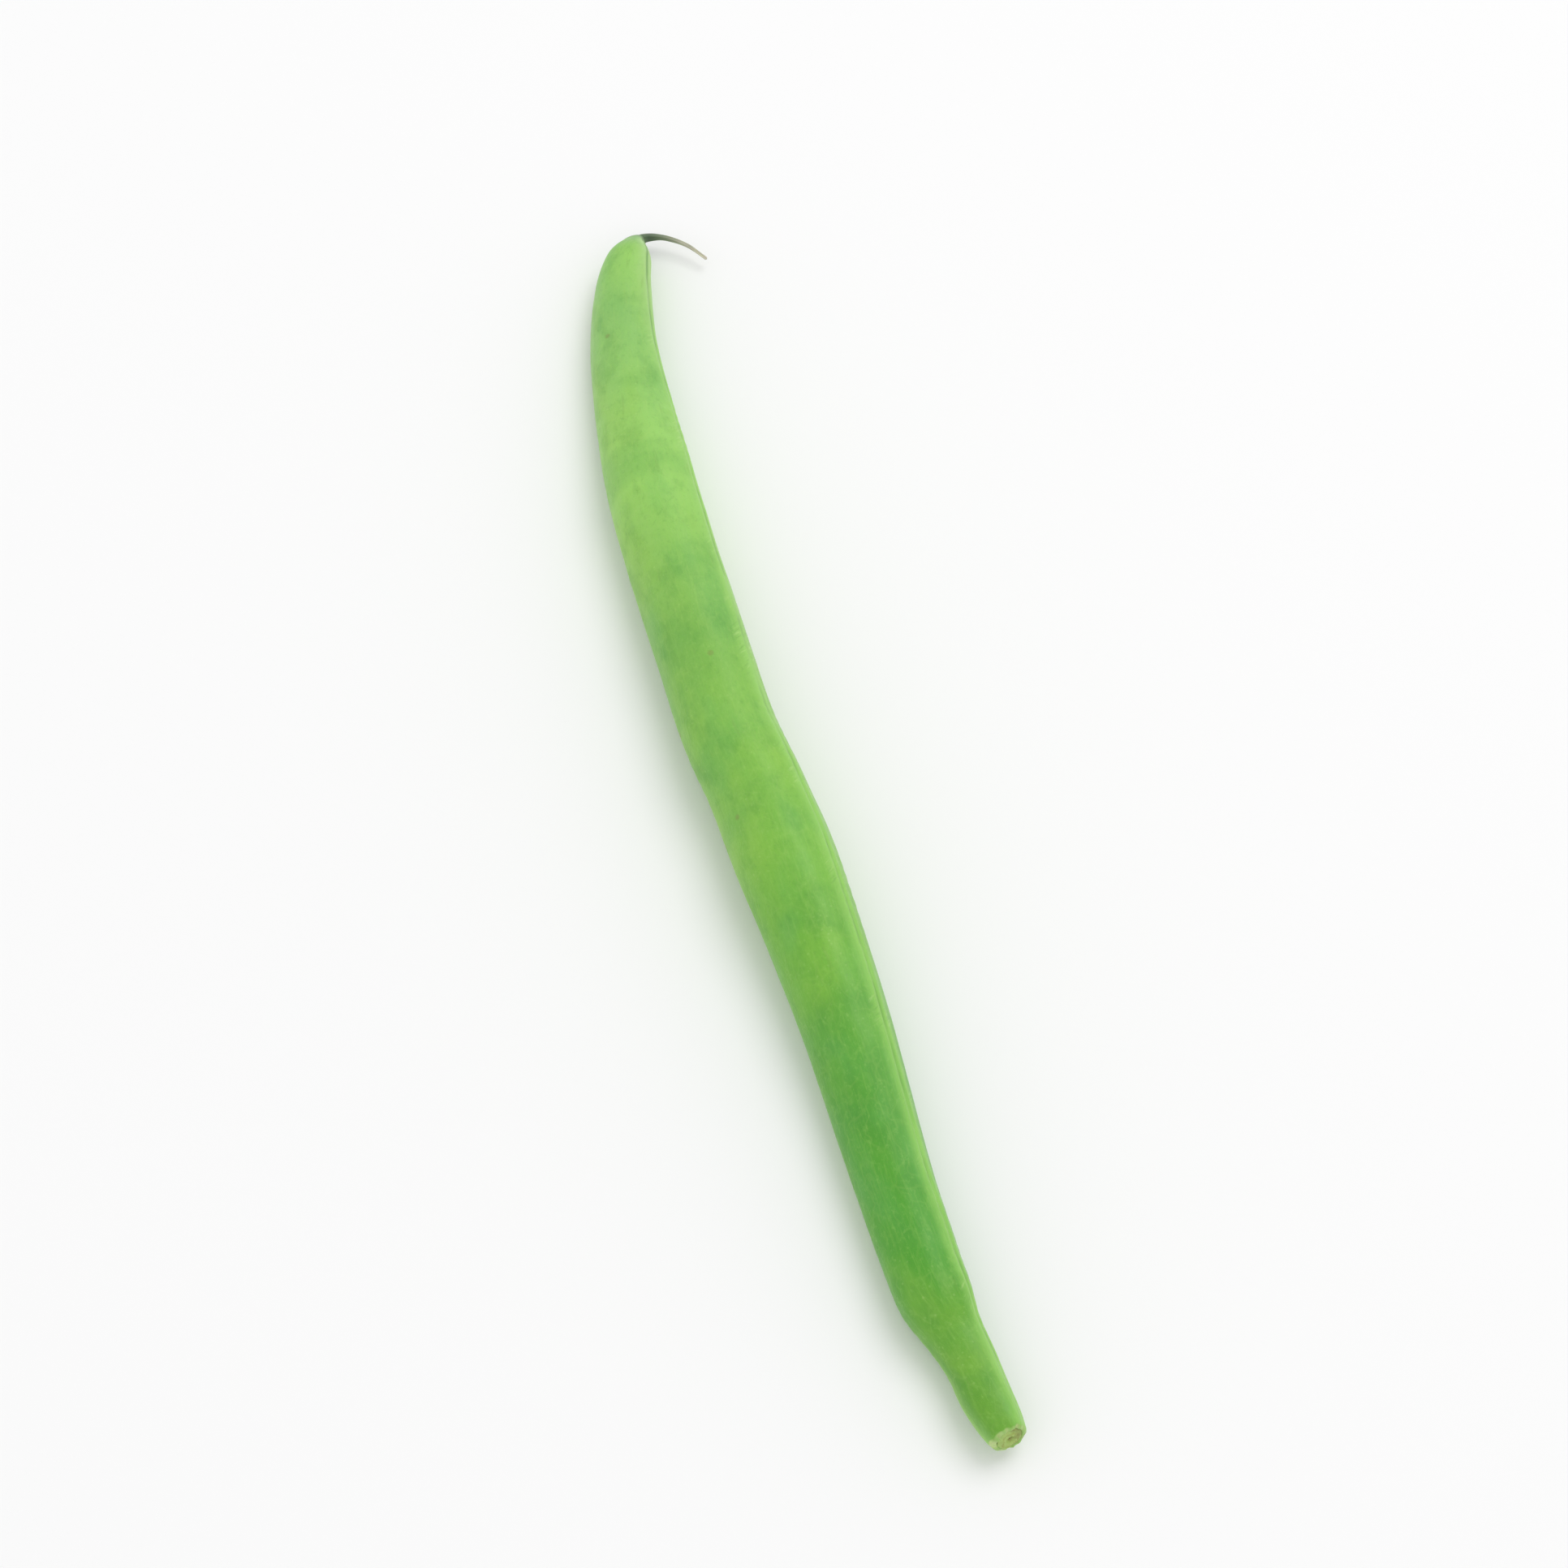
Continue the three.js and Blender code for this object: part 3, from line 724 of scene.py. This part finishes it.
dried = Paint("dried_stalk")
grain = dried.attribute("across_grain")
grain_x, grain_y, _ = dried.parts(grain)
radius = (grain_x * grain_x + grain_y * grain_y) ** 0.5
strands = dried.noise(dried.stretch(grain, (1, 1, 0.15)), 5, 4, 0.65)
patches = dried.noise(grain, 1.1, 2)
rings = dried.ramp(
    radius + (strands - 0.5) * 0.3 + (patches - 0.5) * 0.5,
    [
        (0.0, colour(120, 108, 60)),
        (0.16, colour(146, 156, 82)),
        (0.36, colour(166, 192, 102)),
        (0.62, colour(172, 200, 112)),
        (0.8, colour(158, 176, 90)),
        (1.0, colour(168, 198, 110)),
    ],
)
wood = dried.mix(strands.between(0.52, 0.74) * 0.35, rings, colour(128, 108, 60))
wood = dried.mix(strands.between(0.46, 0.3) * 0.5, wood, colour(186, 210, 134))
# It has browned most on its right-hand side, where it is also painted darker as shade.
stain_and_shade = (grain_x * 0.3 + patches).between(0.5, 0.85) * 0.55
wood = dried.mix(stain_and_shade, wood, colour(120, 112, 58))
fibre_bump = dried.node("ShaderNodeBump", {}, {"Strength": 0.6, "Distance": 0.00006, "Height": strands})
dried.finish(stem_end, Base_Color=wood, Roughness=strands.between(0.2, 0.8, 0.7, 0.92), Normal=fibre_bump)

# The setting: a plain pale floor, a pale sky all round, one broad soft lamp high up to the right, and a
# camera that looks down on the bean from beyond its stalk end.

FLOOR_SIZE = 8.0
FLOOR_COLOUR = (0.94, 0.94, 0.94, 1)
SKY_COLOUR = (1, 1, 1, 1)
SKY_STRENGTH = 0.8
LAMP_SIZE = 1.1
LAMP_POWER = 7.5
LAMP_PLACE = (0.62, 0.42, 1.42)
half = FLOOR_SIZE / 2
floor_corners = [(-half, -half, 0), (half, -half, 0), (half, half, 0), (-half, half, 0)]
floor_mesh = bpy.data.meshes.new("floor")
floor_mesh.from_pydata(floor_corners, [], [(0, 1, 2, 3)])
floor = bpy.data.objects.new("floor", floor_mesh)
bpy.context.scene.collection.objects.link(floor)
floor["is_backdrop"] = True
board = Paint("pale_floor")
board.finish(floor, Base_Color=FLOOR_COLOUR, Roughness=0.9)

sky = bpy.data.worlds.new("pale_sky")
sky.use_nodes = True
sky.node_tree.nodes["Background"].inputs["Color"].default_value = SKY_COLOUR
sky.node_tree.nodes["Background"].inputs["Strength"].default_value = SKY_STRENGTH
bpy.context.scene.world = sky


def aim(thing, target):
    """Turns a lamp or camera so that it looks at a point: tilted by the angle between straight up and the way
    back from that point, and turned to the side that the way back lies on."""
    back = np.array(thing.location) - np.array(target)
    turn = math.atan2(back[0], -back[1])
    drop = math.acos(back[2] / np.linalg.norm(back))
    thing.rotation_euler = (drop, 0, turn)


lamp_data = bpy.data.lights.new("soft_box", "AREA")
lamp_data.shape = "DISK"
lamp_data.size = LAMP_SIZE
lamp_data.energy = LAMP_POWER
lamp = bpy.data.objects.new("soft_box", lamp_data)
lamp.location = LAMP_PLACE
bpy.context.scene.collection.objects.link(lamp)
aim(lamp, (0, 0, 0))

VIEW_AZIMUTH = math.radians(-14.6)
VIEW_ELEVATION = math.radians(60)
VIEW_LENS = 100
VIEW_SHARE = 0.8  # of the picture's height that the bean takes
low, high = (np.array(corner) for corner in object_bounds())
middle = (low + high) / 2
back = np.array(
    [
        math.sin(VIEW_AZIMUTH) * math.cos(VIEW_ELEVATION),
        -math.cos(VIEW_AZIMUTH) * math.cos(VIEW_ELEVATION),
        math.sin(VIEW_ELEVATION),
    ]
)
camera_data = bpy.data.cameras.new("camera")
camera_data.lens = VIEW_LENS
tall = (high[1] - low[1]) * math.sin(VIEW_ELEVATION) / VIEW_SHARE
camera = bpy.data.objects.new("camera", camera_data)
camera.location = middle + back * tall * VIEW_LENS / camera_data.sensor_width
aim(camera, middle)
camera_data.clip_start = 0.01
bpy.context.scene.collection.objects.link(camera)
bpy.context.scene.camera = camera
bpy.context.scene.view_settings.view_transform = "Standard"
